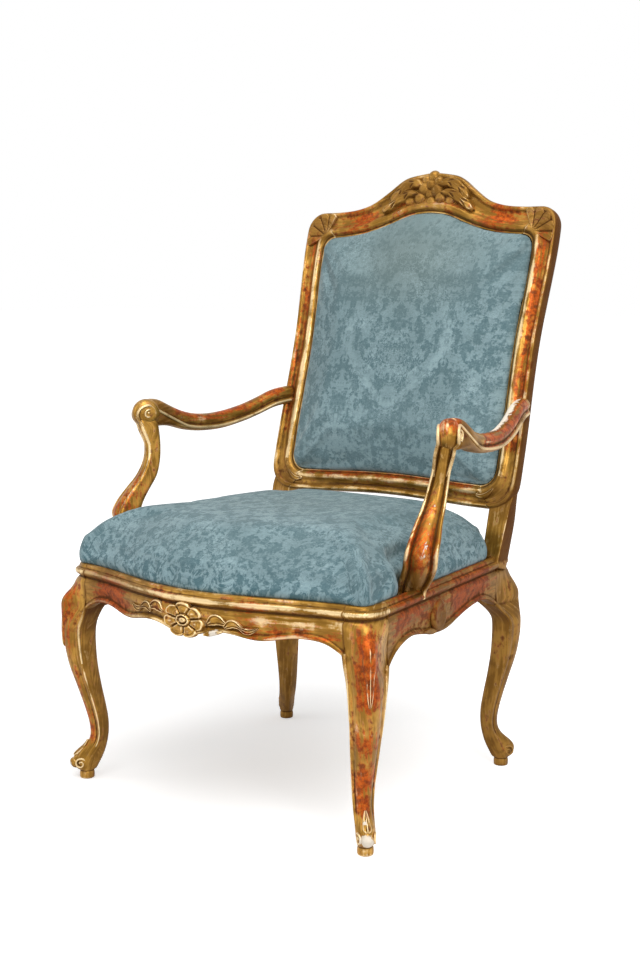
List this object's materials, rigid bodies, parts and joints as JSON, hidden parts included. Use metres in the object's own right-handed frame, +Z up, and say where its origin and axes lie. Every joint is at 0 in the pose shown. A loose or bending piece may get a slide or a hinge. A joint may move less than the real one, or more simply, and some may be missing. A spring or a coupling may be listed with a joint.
{
  "type": "open armchair",
  "caption": "Carved giltwood open armchair with a flat upholstered back, padded seat, scrolled arms and cabriole legs.",
  "frame": {"origin": "middle of the chair's box, on the floor", "axes": "+X to the sitter's left, +Y to the back, +Z up; the sitter faces -Y"},
  "size_m": [0.6436, 0.7266, 1.0189],
  "materials": {
    "giltwood": "worn gold leaf over orange-red clay and gesso on carved wood",
    "bare_beech": "plain sawn wood",
    "blue_damask": "slate blue figured fabric, satin ground and matt flowers",
    "hessian": "coarse plain weave",
    "webbing": "woven jute strap",
    "horsehair": "curled hair stuffing"
  },
  "bodies": {
    "root": {"arm_left": "giltwood", "arm_right": "giltwood", "arm_support_left": "giltwood", "arm_support_right": "giltwood", "back_cover": "blue_damask", "back_hessian": "hessian", "back_post_left": "giltwood", "back_post_right": "giltwood", "back_stuffing": "horsehair", "back_webbing_cross_1": "webbing", "back_webbing_cross_2": "webbing", "back_webbing_cross_3": "webbing", "back_webbing_long_1": "webbing", "back_webbing_long_2": "webbing", "back_webbing_long_3": "webbing", "crest_rail": "giltwood", "front_leg_left": "giltwood", "front_leg_right": "giltwood", "front_seat_rail": "giltwood", "lower_back_rail": "giltwood", "outside_back_cover": "blue_damask", "peg_arm_left": "bare_beech", "peg_arm_right": "bare_beech", "peg_arm_support_left": "bare_beech", "peg_arm_support_right": "bare_beech", "peg_crest_rail_left": "bare_beech", "peg_crest_rail_right": "bare_beech", "peg_front_rail_left": "bare_beech", "peg_front_rail_right": "bare_beech", "peg_lower_back_rail_left": "bare_beech", "peg_lower_back_rail_right": "bare_beech", "peg_rear_rail_left": "bare_beech", "peg_rear_rail_right": "bare_beech", "peg_side_rail_front_left": "bare_beech", "peg_side_rail_front_right": "bare_beech", "peg_side_rail_rear_left": "bare_beech", "peg_side_rail_rear_right": "bare_beech", "rear_seat_rail": "giltwood", "seat_cover": "blue_damask", "seat_hessian": "hessian", "seat_stuffing": "horsehair", "seat_webbing_cross_1": "webbing", "seat_webbing_cross_2": "webbing", "seat_webbing_cross_3": "webbing", "seat_webbing_cross_4": "webbing", "seat_webbing_long_1": "webbing", "seat_webbing_long_2": "webbing", "seat_webbing_long_3": "webbing", "seat_webbing_long_4": "webbing", "side_seat_rail_left": "giltwood", "side_seat_rail_right": "giltwood"}
  },
  "joints": []
}
